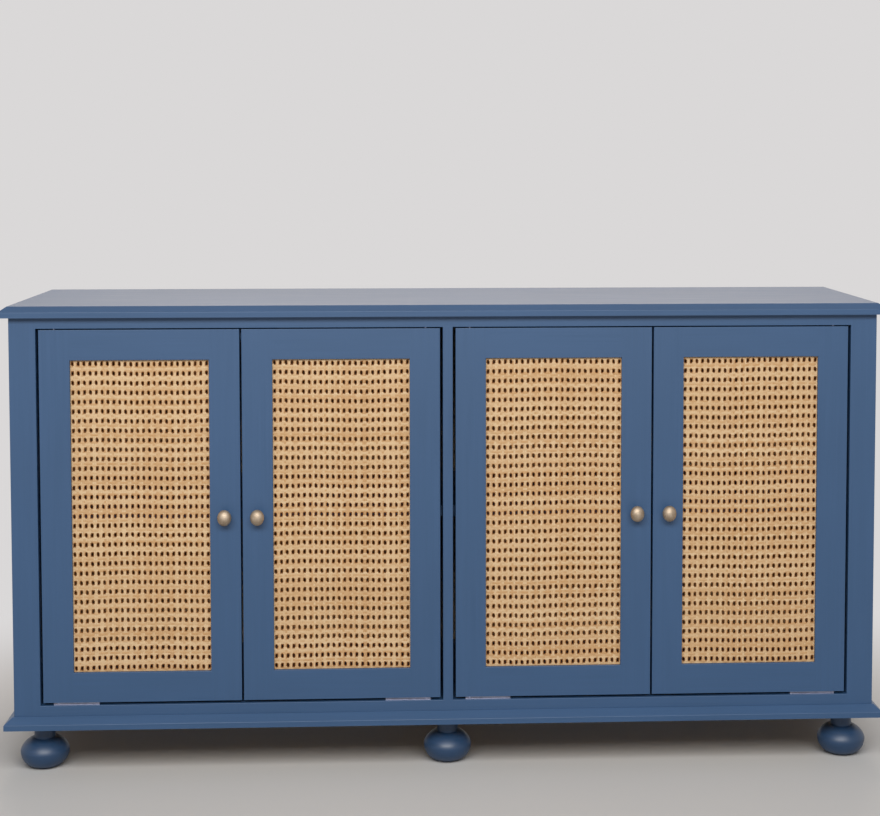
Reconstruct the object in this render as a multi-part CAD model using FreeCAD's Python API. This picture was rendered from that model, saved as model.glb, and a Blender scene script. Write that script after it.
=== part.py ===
"""Record cabinet on bun feet, with four inset doors filled with cane webbing.

A painted carcass of boards carries a face frame, a bevelled top board and a mitred base moulding.
Each door is a mortised frame that swings on two knife hinges, one in the gap below it and one above.

Frame: millimetres, +Z up, +X to the right, the doors face -Y, and the origin lies at the centre of the
bounding box's base.  Depths are counted backwards from the facade, the front face of doors and frame.
"""
import FreeCAD
import Part
import math
import os

Vector = FreeCAD.Vector
AXIS_X = Vector(1, 0, 0)
AXIS_Y = Vector(0, 1, 0)
AXIS_Z = Vector(0, 0, 1)

# Overall size
HEIGHT = 850.0
TOP_WIDTH = 1600.0
TOP_THICKNESS = 20.0
OVERHANG = 16.0              # top board and base moulding past the carcass, at the front and the sides
CARCASS_DEPTH = 404.0

# Edge profile shared by the top board and the base moulding: a square lip and a bevel
LIP_HEIGHT = 10.0
BEVEL_RUN = 14.0
MOULDING_HEIGHT = 21.5
PROFILE_ROUND = 1.2
EASED_EDGE = 0.9             # sandpapered arrises of frame and doors

# Carcass boards
BOARD = 18.0
BACK_THICKNESS = 6.0
BACK_RABBET = 10.0
HOUSING = 6.0                # depth of every groove that holds another board
TONGUE_WIDTH = 10.0
TONGUE_END = 20.0            # tongues stop short of both ends of their board
BOTTOM_TONGUE = 6.0          # thickness of the bottom board's tongue in each side panel
SHELF_THICKNESS = 20.0
SHELF_UNDERSIDE = 456.0
SHELF_SETBACK = 42.0
SHELF_CLEARANCE = 0.5
BEARER_WIDTH = 72.0
CROSS_BEARER_WIDTH = 60.0
BOTTOM_RAIL_TOP = 125.5

# Face frame
FRAME_THICKNESS = 20.0
OUTER_STILE = 47.5
CENTRE_STILE = 18.0
TOP_RAIL = 20.5
FRAME_TENON = 25.0
CENTRE_TENON = 10.0
TENON_THICKNESS = 7.0
TENON_SHOULDER = 4.0
JOINT_CLEARANCE = 0.1

# Bun feet
FOOT_HEIGHT = 85.0
FOOT_RADIUS = 43.9
FOOT_EQUATOR = 28.8
FOOT_BALL_TOP = 53.0
FOOT_BASE_RADIUS = 18.5
FOOT_NECK_RADIUS = 19.0
FOOT_FULLNESS = 1.65         # exponent of the upper half's superellipse, 2 would be an ellipse
FOOT_INSET = 44.0            # foot centre to carcass side
FOOT_SETBACK = 52.0          # foot centre to facade, and to the back
BOLT_RADIUS = 4.0
BOLT_REACH_DOWN = 40.0
BOLT_REACH_UP = 20.0

# Doors
SIDE_GAP = 5.0
MEETING_GAP = 3.5
TOP_GAP = 2.0
BOTTOM_GAP = 5.0
DOOR_THICKNESS = 20.0
DOOR_MEMBER = 55.0
DOOR_TENON = 30.0
DOOR_TENON_OFFSET = 10.0     # from the rail's outer edge
DOOR_TENON_HEIGHT = 34.0
FRONT_LIP = 6.0              # frame in front of the cane
REBATE_WIDTH = 8.0

# Cane webbing: wide bands across, narrower strands up, and a grid of holes between them
CANE_THICKNESS = 1.6
CANE_TUCK = 7.0              # hidden under lip and bead
HOLE_COLUMNS = 24
HOLE_ROWS = 33
HOLE_WIDTH = 4.5
HOLE_HEIGHT = 7.5
HOLE_COLUMN_MARGIN = 4.0     # centres of the outermost holes to the opening's edge
HOLE_ROW_MARGIN = 7.3
BEAD_DEPTH = 10.0

# Knobs
KNOB_REACH = 28.5
KNOB_WIDTH = 25.0
KNOB_HEIGHT = 29.0
KNOB_BALL_LENGTH = 20.0
KNOB_NECK_RADIUS = 5.0
KNOB_ROSE_RADIUS = 7.5
KNOB_ROSE_THICKNESS = 2.5
KNOB_SCREW_RADIUS = 2.0
KNOB_SCREW_DEPTH = 14.0      # into the knob from the door's face
KNOB_SCREW_HEAD_RADIUS = 4.0
KNOB_SCREW_HEAD_LENGTH = 3.0

# Knife hinges
LEAF_LENGTH = 82.0
LEAF_WIDTH = 12.0
LEAF_THICKNESS = 2.0
LEAF_START = 18.0            # from the door's hinge edge
PIVOT_INSET = 26.0           # from the door's hinge edge
PIVOT_DEPTH = DOOR_THICKNESS / 2
PIN_RADIUS = 2.5
PIN_LENGTH = 11.0            # from the back of the fixed leaf to the pin's end
PIN_RUNNING_CLEARANCE = 0.05
PIN_POCKET_RADIUS = 3.5
PIN_POCKET_DEPTH = 7.0
COLLAR_RADIUS = 4.5
COLLAR_CLEARANCE = 0.2
LEAF_SCREWS = (42.0, 88.0)   # from the door's hinge edge

# Door catches
CATCH_LENGTH = 120.0
CATCH_THICKNESS = 20.0
CATCH_HEIGHT = 45.0
CATCH_SETBACK = 20.5
MAGNET_RADIUS = 5.0
MAGNET_LENGTH = 12.0
MAGNET_DROP = 34.0           # below the top board
STRIKE_RADIUS = 7.0
STRIKE_THICKNESS = 1.5

# Fixings
SCREW_RADIUS = 1.75
SCREW_HEAD_RADIUS = 3.5
SCREW_HEAD_DEPTH = 1.75
LEAF_SCREW_LENGTH = 9.0
PLATE_SCREW_LENGTH = 14.0
BACK_SCREW_LENGTH = 22.0
BACK_SCREWS_UP = 5
BACK_SCREWS_ACROSS = 7
SHELF_PIN_RADIUS = 2.5
SHELF_PIN_IN = 8.0
SHELF_PIN_OUT = 9.0
SHELF_PIN_INSET = 45.0       # from the shelf's front and rear edges

# Worked out from the sizes above
FRONT_Y = -(CARCASS_DEPTH - KNOB_REACH) / 2
CARCASS_TOP = HEIGHT - TOP_THICKNESS
CARCASS_HALF = TOP_WIDTH / 2 - OVERHANG
INNER_HALF = CARCASS_HALF - BOARD
BACK_FRONT = CARCASS_DEPTH - BACK_THICKNESS
BOTTOM_UNDERSIDE = BOTTOM_RAIL_TOP - BOARD
BAY_INNER = CENTRE_STILE / 2
BAY_OUTER = CARCASS_HALF - OUTER_STILE
TOP_RAIL_UNDERSIDE = CARCASS_TOP - TOP_RAIL
DOOR_WIDTH = (BAY_OUTER - BAY_INNER - 2 * SIDE_GAP - MEETING_GAP) / 2
DOOR_BOTTOM = BOTTOM_RAIL_TOP + BOTTOM_GAP
DOOR_TOP = TOP_RAIL_UNDERSIDE - TOP_GAP
DOOR_MIDDLE = (DOOR_BOTTOM + DOOR_TOP) / 2
OPENING_WIDTH = DOOR_WIDTH - 2 * DOOR_MEMBER
OPENING_BOTTOM = DOOR_BOTTOM + DOOR_MEMBER
OPENING_TOP = DOOR_TOP - DOOR_MEMBER
MEETING_X = BAY_INNER + SIDE_GAP + DOOR_WIDTH + MEETING_GAP / 2
LOCK_CENTRE = DOOR_WIDTH - DOOR_MEMBER / 2
MAGNET_Z = CARCASS_TOP - MAGNET_DROP

# Door number: hinge edge in X, and the side of it on which the door lies
DOORS = {
    1: (-(BAY_OUTER - SIDE_GAP), 1),
    2: (-(BAY_INNER + SIDE_GAP), -1),
    3: (BAY_INNER + SIDE_GAP, 1),
    4: (BAY_OUTER - SIDE_GAP, -1),
}


# ---- shape helpers ----

def point(x, depth, z):
    """A point given by X, its depth behind the facade, and Z."""
    return Vector(x, FRONT_Y + depth, z)


def block(x, depth, z):
    """A box between two values of X, of depth and of Z, each given as a pair."""
    return Part.makeBox(x[1] - x[0], depth[1] - depth[0], z[1] - z[0], point(x[0], depth[0], z[0]))


def prism(corners, along):
    """A straight prism on a flat outline of corner points."""
    outline = Part.makePolygon(list(corners) + [corners[0]])
    return Part.Face(outline).extrude(along)


def group(solids):
    """Separate solids that share one node."""
    return Part.makeCompound(list(solids))


def mirrored(shape):
    """The same shape on the other side of the cabinet's middle."""
    return shape.mirror(Vector(0, 0, 0), AXIS_X)


def cut_by(shape, cutters):
    """A shape less every cutter."""
    return shape.cut(list(cutters)) if cutters else shape


def front_edges_rounded(shape, radius, wanted=lambda middle: True):
    """Rounds the edges that lie in the facade and whose middle passes a test."""
    edges = []
    for edge in shape.Edges:
        in_facade = all(abs(vertex.Y - FRONT_Y) < 1e-6 for vertex in edge.Vertexes)
        if in_facade and wanted(edge.CenterOfMass):
            edges.append(edge)
    return shape.makeFillet(radius, edges)


def both_sides(shape):
    """A shape and its mirror image."""
    return [shape, mirrored(shape)]


def save(node, shape):
    """Writes one node, as the solids that it is made of."""
    if not shape.isValid():
        raise ValueError("invalid shape in " + node)
    shape.exportStep("parts/" + node + ".step")


# ---- fixings ----

def countersunk_screw(head, direction, length):
    """A wood screw whose head is flush at a point and whose shank runs in a direction."""
    cone = Part.makeCone(SCREW_HEAD_RADIUS, SCREW_RADIUS, SCREW_HEAD_DEPTH, head, direction)
    shank = Part.makeCylinder(SCREW_RADIUS, length, head, direction)
    return shank.fuse(cone).removeSplitter()


def back_panel_screws():
    """Screws round the back panel and up its middle, into sides, bottom board and partition."""
    edge_x = INNER_HALF + BACK_RABBET / 2
    low = BOTTOM_UNDERSIDE + BOARD / 2
    high = CARCASS_TOP - BOARD
    rise = (high - low) / (BACK_SCREWS_UP - 1)
    places = []
    for step in range(BACK_SCREWS_UP):
        for x in (-edge_x, 0.0, edge_x):
            places.append((x, low + step * rise))
    spacing = 2 * edge_x / (BACK_SCREWS_ACROSS - 1)
    for step in range(1, BACK_SCREWS_ACROSS - 1):
        x = -edge_x + step * spacing
        if abs(x) > BOARD:
            places.append((x, low))
    return [countersunk_screw(point(x, CARCASS_DEPTH, z), -AXIS_Y, BACK_SCREW_LENGTH) for x, z in places]


def shelf_pins():
    """Eight pins under the two shelves, half in the boards and half under the shelf."""
    pins = []
    z = SHELF_UNDERSIDE - SHELF_PIN_RADIUS
    for depth in (SHELF_SETBACK + SHELF_PIN_INSET, BACK_FRONT - SHELF_PIN_INSET):
        length = SHELF_PIN_IN + SHELF_PIN_OUT
        outer_end = point(INNER_HALF + SHELF_PIN_IN, depth, z)
        inner_end = point(BAY_INNER - SHELF_PIN_IN, depth, z)
        pins += both_sides(Part.makeCylinder(SHELF_PIN_RADIUS, length, outer_end, -AXIS_X))
        pins += both_sides(Part.makeCylinder(SHELF_PIN_RADIUS, length, inner_end, AXIS_X))
    return pins


def foot_centres():
    """Plan positions of the six feet, by name."""
    x_places = {"left": -(CARCASS_HALF - FOOT_INSET), "centre": 0.0, "right": CARCASS_HALF - FOOT_INSET}
    depths = {"front": FOOT_SETBACK, "rear": CARCASS_DEPTH - FOOT_SETBACK}
    return {row + "_" + side: (x, depth) for row, depth in depths.items() for side, x in x_places.items()}


def foot_bolts():
    """One headless bolt up the middle of each foot into its bearer."""
    length = BOLT_REACH_DOWN + BOLT_REACH_UP
    return [Part.makeCylinder(BOLT_RADIUS, length, point(x, depth, FOOT_HEIGHT - BOLT_REACH_DOWN))
            for x, depth in foot_centres().values()]


# ---- carcass ----

def tongue(x_middle):
    """A tongue on a board's top edge that stands in a groove of the top board."""
    half = TONGUE_WIDTH / 2
    return block((x_middle - half, x_middle + half),
                 (FRAME_THICKNESS + TONGUE_END, BACK_FRONT - TONGUE_END),
                 (CARCASS_TOP, CARCASS_TOP + HOUSING))


def top_board():
    """Slab with a lip and a bevel along its front and sides, grooved below for three tongues."""
    half = TOP_WIDTH / 2
    lip_top = CARCASS_TOP + LIP_HEIGHT
    slab = block((-half, half), (-OVERHANG, CARCASS_DEPTH), (CARCASS_TOP, HEIGHT))
    front_waste = prism([point(-half, -OVERHANG, lip_top), point(-half, -OVERHANG, HEIGHT),
                         point(-half, BEVEL_RUN - OVERHANG, HEIGHT)], AXIS_X * TOP_WIDTH)
    side_waste = prism([point(half, -OVERHANG, lip_top), point(half, -OVERHANG, HEIGHT),
                        point(half - BEVEL_RUN, -OVERHANG, HEIGHT)], AXIS_Y * (CARCASS_DEPTH + OVERHANG))
    slab = slab.cut([front_waste] + both_sides(side_waste))
    edges = [edge for edge in slab.Edges
             if all(abs(vertex.Z - lip_top) < 1e-6 for vertex in edge.Vertexes)]
    slab = slab.makeFillet(PROFILE_ROUND, edges)
    side_tongue = tongue(CARCASS_HALF - BOARD / 2)
    return slab.cut(both_sides(side_tongue) + [tongue(0.0)])


def bottom_tongue():
    """The bare-faced tongue on the bottom board's right-hand end."""
    return block((INNER_HALF, INNER_HALF + HOUSING), (FRAME_THICKNESS, BACK_FRONT),
                 (BOTTOM_UNDERSIDE, BOTTOM_UNDERSIDE + BOTTOM_TONGUE))


def side_panel(fixings):
    """Right side board: grooved for the bottom board's tongue and rabbeted for the back panel."""
    panel = block((INNER_HALF, CARCASS_HALF), (FRAME_THICKNESS, CARCASS_DEPTH), (FOOT_HEIGHT, CARCASS_TOP))
    panel = panel.fuse(tongue(CARCASS_HALF - BOARD / 2)).removeSplitter()
    rabbet = block((INNER_HALF, INNER_HALF + BACK_RABBET), (BACK_FRONT, CARCASS_DEPTH),
                   (BOTTOM_UNDERSIDE, CARCASS_TOP))
    return cut_by(panel, [bottom_tongue(), rabbet] + fixings)


def partition(fixings):
    """Board between the two bays, housed in the bottom board."""
    board = block((-BOARD / 2, BOARD / 2), (FRAME_THICKNESS, BACK_FRONT),
                  (BOTTOM_RAIL_TOP - HOUSING, CARCASS_TOP))
    return cut_by(board.fuse(tongue(0.0)).removeSplitter(), fixings)


def bottom_board(fixings):
    """Board under both bays, grooved for the partition and tongued into both side panels."""
    board = block((-INNER_HALF, INNER_HALF), (FRAME_THICKNESS, BACK_FRONT),
                  (BOTTOM_UNDERSIDE, BOTTOM_RAIL_TOP))
    board = board.fuse(both_sides(bottom_tongue())).removeSplitter()
    groove = block((-BOARD / 2, BOARD / 2), (FRAME_THICKNESS, BACK_FRONT),
                   (BOTTOM_RAIL_TOP - HOUSING, BOTTOM_RAIL_TOP))
    return cut_by(board, [groove] + fixings)


def back_panel(fixings):
    """Thin panel let into the back of the sides."""
    half = INNER_HALF + BACK_RABBET
    panel = block((-half, half), (BACK_FRONT, CARCASS_DEPTH), (BOTTOM_UNDERSIDE, CARCASS_TOP))
    return cut_by(panel, fixings)


def shelf():
    """Right shelf, resting on its four pins."""
    return block((BAY_INNER + SHELF_CLEARANCE, INNER_HALF - SHELF_CLEARANCE),
                 (SHELF_SETBACK, BACK_FRONT - SHELF_CLEARANCE),
                 (SHELF_UNDERSIDE, SHELF_UNDERSIDE + SHELF_THICKNESS))


def base_bearers():
    """Front and rear bearers that carry the feet, and three cross bearers between them."""
    heights = (FOOT_HEIGHT, BOTTOM_UNDERSIDE)
    front = block((-INNER_HALF, INNER_HALF), (FRAME_THICKNESS, FRAME_THICKNESS + BEARER_WIDTH), heights)
    rear = block((-INNER_HALF, INNER_HALF), (BACK_FRONT - BEARER_WIDTH, BACK_FRONT), heights)
    between = (FRAME_THICKNESS + BEARER_WIDTH, BACK_FRONT - BEARER_WIDTH)
    half = CROSS_BEARER_WIDTH / 2
    middle = block((-half, half), between, heights)
    side = block((INNER_HALF - CROSS_BEARER_WIDTH, INNER_HALF), between, heights)
    bolts = foot_bolts()
    return group([front.cut(bolts), rear.cut(bolts), middle] + both_sides(side))


def base_moulding():
    """Front and right-hand strips of the base moulding, mitred where they meet."""
    reach = CARCASS_HALF + OVERHANG
    lip_top = FOOT_HEIGHT + LIP_HEIGHT
    top = FOOT_HEIGHT + MOULDING_HEIGHT
    section = [(0.0, FOOT_HEIGHT), (OVERHANG, FOOT_HEIGHT), (OVERHANG, lip_top),
               (OVERHANG - BEVEL_RUN, top), (0.0, top)]
    front = prism([point(-reach, -out, z) for out, z in section], AXIS_X * (2 * reach))
    side = prism([point(CARCASS_HALF + out, -OVERHANG, z) for out, z in section],
                 AXIS_Y * (CARCASS_DEPTH + OVERHANG))

    def lip_rounded(strip):
        """Rounds the long edge between lip and bevel."""
        edges = [edge for edge in strip.Edges
                 if edge.Length > CARCASS_DEPTH and all(abs(v.Z - lip_top) < 1e-6 for v in edge.Vertexes)]
        return strip.makeFillet(PROFILE_ROUND, edges)

    up = AXIS_Z * MOULDING_HEIGHT
    front_plan = prism([point(-reach, -OVERHANG, FOOT_HEIGHT), point(reach, -OVERHANG, FOOT_HEIGHT),
                        point(CARCASS_HALF, 0, FOOT_HEIGHT), point(-CARCASS_HALF, 0, FOOT_HEIGHT)], up)
    side_plan = prism([point(reach, -OVERHANG, FOOT_HEIGHT), point(reach, CARCASS_DEPTH, FOOT_HEIGHT),
                       point(CARCASS_HALF, CARCASS_DEPTH, FOOT_HEIGHT),
                       point(CARCASS_HALF, 0, FOOT_HEIGHT)], up)
    return lip_rounded(front).common(front_plan), lip_rounded(side).common(side_plan)


def foot(x, depth):
    """Turned bun foot: a flattened ball under a straight neck, bored for its bolt."""
    bulge = FOOT_RADIUS - FOOT_BASE_RADIUS
    centre = Vector(FOOT_BASE_RADIUS, 0, FOOT_EQUATOR)
    below = Part.Ellipse(centre - AXIS_Z * FOOT_EQUATOR, centre + AXIS_X * bulge, centre)
    lower = Part.ArcOfEllipse(below, 0, math.pi / 2).toShape()
    shoulder = FOOT_RADIUS - FOOT_NECK_RADIUS
    rise = FOOT_BALL_TOP - FOOT_EQUATOR
    samples = 7
    upper_points = []
    for step in range(samples):
        angle = math.pi / 2 * step / (samples - 1)
        upper_points.append(Vector(FOOT_NECK_RADIUS + shoulder * math.cos(angle) ** (2 / FOOT_FULLNESS), 0,
                                   FOOT_EQUATOR + rise * math.sin(angle) ** (2 / FOOT_FULLNESS)))
    curve = Part.BSplineCurve()
    curve.interpolate(Points=upper_points, InitialTangent=AXIS_Z, FinalTangent=-AXIS_X)
    edges = [Part.makeLine(Vector(0, 0, 0), Vector(FOOT_BASE_RADIUS, 0, 0)), lower, curve.toShape(),
             Part.makeLine(upper_points[-1], Vector(FOOT_NECK_RADIUS, 0, FOOT_HEIGHT)),
             Part.makeLine(Vector(FOOT_NECK_RADIUS, 0, FOOT_HEIGHT), Vector(0, 0, FOOT_HEIGHT)),
             Part.makeLine(Vector(0, 0, FOOT_HEIGHT), Vector(0, 0, 0))]
    turned = Part.Face(Part.Wire(Part.__sortEdges__(edges))).revolve(Vector(0, 0, 0), AXIS_Z, 360)
    bore = Part.makeCylinder(BOLT_RADIUS, BOLT_REACH_DOWN, Vector(0, 0, FOOT_HEIGHT - BOLT_REACH_DOWN))
    turned = turned.cut(bore)
    turned.translate(point(x, depth, 0))
    return turned


# ---- face frame ----

def face_frame(fixings):
    """Stiles and rails cut from one eased frame, so that their faces meet flush, then tenoned."""
    depth = (0.0, FRAME_THICKNESS)
    frame = block((-CARCASS_HALF, CARCASS_HALF), depth, (FOOT_HEIGHT, CARCASS_TOP))
    bay = block((BAY_INNER, BAY_OUTER), depth, (BOTTOM_RAIL_TOP, TOP_RAIL_UNDERSIDE))
    frame = front_edges_rounded(frame.cut(both_sides(bay)), EASED_EDGE,
                                lambda middle: FOOT_HEIGHT < middle.z < CARCASS_TOP)

    thick = ((FRAME_THICKNESS - TENON_THICKNESS) / 2, (FRAME_THICKNESS + TENON_THICKNESS) / 2)

    def rail_tenon(z_low, z_high, grow):
        """Tenon on the right-hand end of a rail, or with clearance the mortise for it."""
        return block((BAY_OUTER, BAY_OUTER + FRAME_TENON + grow), (thick[0] - grow, thick[1] + grow),
                     (z_low + TENON_SHOULDER - grow, z_high - TENON_SHOULDER + grow))

    def centre_tenons(grow):
        """Stub tenons at both ends of the centre stile, or the mortises for them."""
        half = BAY_INNER - TENON_SHOULDER + grow
        across = (thick[0] - grow, thick[1] + grow)
        length = CENTRE_TENON + grow
        return [block((-half, half), across, (TOP_RAIL_UNDERSIDE, TOP_RAIL_UNDERSIDE + length)),
                block((-half, half), across, (BOTTOM_RAIL_TOP - length, BOTTOM_RAIL_TOP))]

    top_range = (TOP_RAIL_UNDERSIDE, CARCASS_TOP)
    bottom_range = (FOOT_HEIGHT, BOTTOM_RAIL_TOP)
    mortises = [rail_tenon(*top_range, JOINT_CLEARANCE), rail_tenon(*bottom_range, JOINT_CLEARANCE)]
    stile = frame.common(block((BAY_OUTER, CARCASS_HALF), depth, (FOOT_HEIGHT, CARCASS_TOP)))
    stile = cut_by(stile, mortises)

    def rail(z_range, extra):
        """A rail between the outer stiles with a tenon at each end."""
        member = frame.common(block((-BAY_OUTER, BAY_OUTER), depth, z_range))
        member = member.fuse(both_sides(rail_tenon(*z_range, 0.0))).removeSplitter()
        return cut_by(member, centre_tenons(JOINT_CLEARANCE) + extra)

    centre = frame.common(block((-BAY_INNER, BAY_INNER), depth, (BOTTOM_RAIL_TOP, TOP_RAIL_UNDERSIDE)))
    centre = centre.fuse(centre_tenons(0.0)).removeSplitter()
    return {
        "face_stile_left": mirrored(stile),
        "face_stile_right": stile,
        "face_stile_centre": centre,
        "face_rail_top": rail(top_range, fixings),
        "face_rail_bottom": rail(bottom_range, fixings),
    }


# ---- doors, modelled with the hinge edge at X = 0 and the door towards +X ----

def placed(shape, hinge_x, side):
    """A door part, or a part beside a door, moved to a door's place."""
    copy = shape.copy() if side > 0 else mirrored(shape)
    copy.translate(Vector(hinge_x, 0, 0))
    return copy


def door_frame():
    """Two stiles and two rails cut from one eased and rebated frame, then tenoned."""
    depth = (0.0, DOOR_THICKNESS)
    full = (DOOR_BOTTOM, DOOR_TOP)
    inner = (DOOR_MEMBER, DOOR_WIDTH - DOOR_MEMBER)
    frame = block((0, DOOR_WIDTH), depth, full).cut(block(inner, depth, (OPENING_BOTTOM, OPENING_TOP)))
    frame = front_edges_rounded(frame, EASED_EDGE)
    rebate = block((inner[0] - REBATE_WIDTH, inner[1] + REBATE_WIDTH), (FRONT_LIP, DOOR_THICKNESS),
                   (OPENING_BOTTOM - REBATE_WIDTH, OPENING_TOP + REBATE_WIDTH))
    frame = frame.cut(rebate)

    thick = ((DOOR_THICKNESS - TENON_THICKNESS) / 2, (DOOR_THICKNESS + TENON_THICKNESS) / 2)
    low_range = (DOOR_BOTTOM + DOOR_TENON_OFFSET, DOOR_BOTTOM + DOOR_TENON_OFFSET + DOOR_TENON_HEIGHT)
    high_range = (DOOR_TOP - DOOR_TENON_OFFSET - DOOR_TENON_HEIGHT, DOOR_TOP - DOOR_TENON_OFFSET)

    def tenons(z_range, grow):
        """Tenons at both ends of a rail, or with clearance the mortises for them."""
        across = (thick[0] - grow, thick[1] + grow)
        heights = (z_range[0] - grow, z_range[1] + grow)
        return [block((inner[0] - DOOR_TENON - grow, inner[0]), across, heights),
                block((inner[1], inner[1] + DOOR_TENON + grow), across, heights)]

    mortises = tenons(low_range, JOINT_CLEARANCE) + tenons(high_range, JOINT_CLEARANCE)
    hinge_stile = frame.common(block((0, inner[0]), depth, full)).cut(mortises)
    lock_stile = frame.common(block((inner[1], DOOR_WIDTH), depth, full)).cut(mortises)
    rail_bottom = frame.common(block(inner, depth, (DOOR_BOTTOM, OPENING_BOTTOM)))
    rail_bottom = rail_bottom.fuse(tenons(low_range, 0.0)).removeSplitter()
    rail_top = frame.common(block(inner, depth, (OPENING_TOP, DOOR_TOP)))
    rail_top = rail_top.fuse(tenons(high_range, 0.0)).removeSplitter()
    return hinge_stile, lock_stile, rail_bottom, rail_top


def cane_strands():
    """Open-weave cane: wide bands across the front and strands up behind them, touching face to face."""
    layer = CANE_THICKNESS / 2
    right = DOOR_WIDTH - DOOR_MEMBER + CANE_TUCK
    left = DOOR_MEMBER - CANE_TUCK
    bottom = OPENING_BOTTOM - CANE_TUCK
    top = OPENING_TOP + CANE_TUCK
    column_pitch = (OPENING_WIDTH - 2 * HOLE_COLUMN_MARGIN) / (HOLE_COLUMNS - 1)
    row_pitch = (OPENING_TOP - OPENING_BOTTOM - 2 * HOLE_ROW_MARGIN) / (HOLE_ROWS - 1)
    band_half = (row_pitch - HOLE_HEIGHT) / 2
    strand_half = (column_pitch - HOLE_WIDTH) / 2
    strands = []
    for row in range(HOLE_ROWS + 1):
        z = OPENING_BOTTOM + HOLE_ROW_MARGIN + (row - 0.5) * row_pitch
        strands.append(block((left, right), (FRONT_LIP, FRONT_LIP + layer), (z - band_half, z + band_half)))
    for column in range(HOLE_COLUMNS + 1):
        x = DOOR_MEMBER + HOLE_COLUMN_MARGIN + (column - 0.5) * column_pitch
        strands.append(block((x - strand_half, x + strand_half),
                             (FRONT_LIP + layer, FRONT_LIP + CANE_THICKNESS), (bottom, top)))
    return strands


def cane_beads():
    """Four mitred beads that hold the cane in its rebate from behind."""
    front = FRONT_LIP + CANE_THICKNESS
    width = REBATE_WIDTH - JOINT_CLEARANCE
    inner = [(DOOR_MEMBER, OPENING_BOTTOM), (DOOR_WIDTH - DOOR_MEMBER, OPENING_BOTTOM),
             (DOOR_WIDTH - DOOR_MEMBER, OPENING_TOP), (DOOR_MEMBER, OPENING_TOP)]
    signs = [(-1, -1), (1, -1), (1, 1), (-1, 1)]
    outer = [(x + sx * width, z + sz * width) for (x, z), (sx, sz) in zip(inner, signs)]
    beads = []
    for corner in range(4):
        following = (corner + 1) % 4
        outline = [inner[corner], outer[corner], outer[following], inner[following]]
        beads.append(prism([point(x, front, z) for x, z in outline], AXIS_Y * BEAD_DEPTH))
    return beads


def knob_screw():
    """Machine screw from the back of the lock stile into the knob."""
    head_end = point(LOCK_CENTRE, DOOR_THICKNESS, DOOR_MIDDLE)
    head = Part.makeCylinder(KNOB_SCREW_HEAD_RADIUS, KNOB_SCREW_HEAD_LENGTH, head_end, -AXIS_Y)
    shank = Part.makeCylinder(KNOB_SCREW_RADIUS, DOOR_THICKNESS + KNOB_SCREW_DEPTH, head_end, -AXIS_Y)
    return head.fuse(shank).removeSplitter()


def knob():
    """Egg-shaped knob, taller than wide, on a short neck with a small rose."""
    half_length = KNOB_BALL_LENGTH / 2
    egg = Part.makeSphere(1.0)
    stretch = FreeCAD.Matrix()
    stretch.scale(KNOB_WIDTH / 2, half_length, KNOB_HEIGHT / 2)
    egg = egg.transformGeometry(stretch)
    egg.translate(point(LOCK_CENTRE, half_length - KNOB_REACH, DOOR_MIDDLE))
    foot_point = point(LOCK_CENTRE, 0, DOOR_MIDDLE)
    neck = Part.makeCylinder(KNOB_NECK_RADIUS, KNOB_REACH - half_length, foot_point, -AXIS_Y)
    rose = Part.makeCylinder(KNOB_ROSE_RADIUS, KNOB_ROSE_THICKNESS, foot_point, -AXIS_Y)
    return egg.fuse([neck, rose]).cut(knob_screw())


def strike_plate():
    """Steel disc let into the back of the lock stile, opposite a magnet."""
    return Part.makeCylinder(STRIKE_RADIUS, STRIKE_THICKNESS,
                             point(LOCK_CENTRE, DOOR_THICKNESS, MAGNET_Z), -AXIS_Y)


def pivot(z):
    """The point of a door's hinge axis at a height."""
    return point(PIVOT_INSET, PIVOT_DEPTH, z)


def leaf_plate(z_low):
    """A plain hinge leaf in plan, with its lower face at a height."""
    return block((LEAF_START, LEAF_START + LEAF_LENGTH),
                 (PIVOT_DEPTH - LEAF_WIDTH / 2, PIVOT_DEPTH + LEAF_WIDTH / 2),
                 (z_low, z_low + LEAF_THICKNESS))


def leaf_screws(z_head, direction, length):
    """The two screws of one hinge leaf."""
    return [countersunk_screw(point(x, PIVOT_DEPTH, z_head), direction, length) for x in LEAF_SCREWS]


def moving_leaves():
    """The door's hinge leaves with their running holes and screws, and the pockets for pins and upper leaf.

    The lower leaf is on the door's bottom edge, the upper one is let in flush with its top edge.
    """
    lower_z = DOOR_BOTTOM - LEAF_THICKNESS
    upper_z = DOOR_TOP - LEAF_THICKNESS
    pin_hole = Part.makeCylinder(PIN_RADIUS + PIN_RUNNING_CLEARANCE, HEIGHT, pivot(0))
    screws = (leaf_screws(lower_z, AXIS_Z, LEAF_SCREW_LENGTH)
              + leaf_screws(upper_z + LEAF_THICKNESS, -AXIS_Z, LEAF_SCREW_LENGTH))
    leaves = [leaf_plate(z).cut([pin_hole] + screws) for z in (lower_z, upper_z)]
    pockets = [
        Part.makeCylinder(PIN_POCKET_RADIUS, PIN_POCKET_DEPTH, pivot(DOOR_BOTTOM)),
        Part.makeCylinder(PIN_POCKET_RADIUS, PIN_POCKET_DEPTH, pivot(upper_z), -AXIS_Z),
        leaf_plate(upper_z),
    ]
    return leaves, screws, pockets


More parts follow.
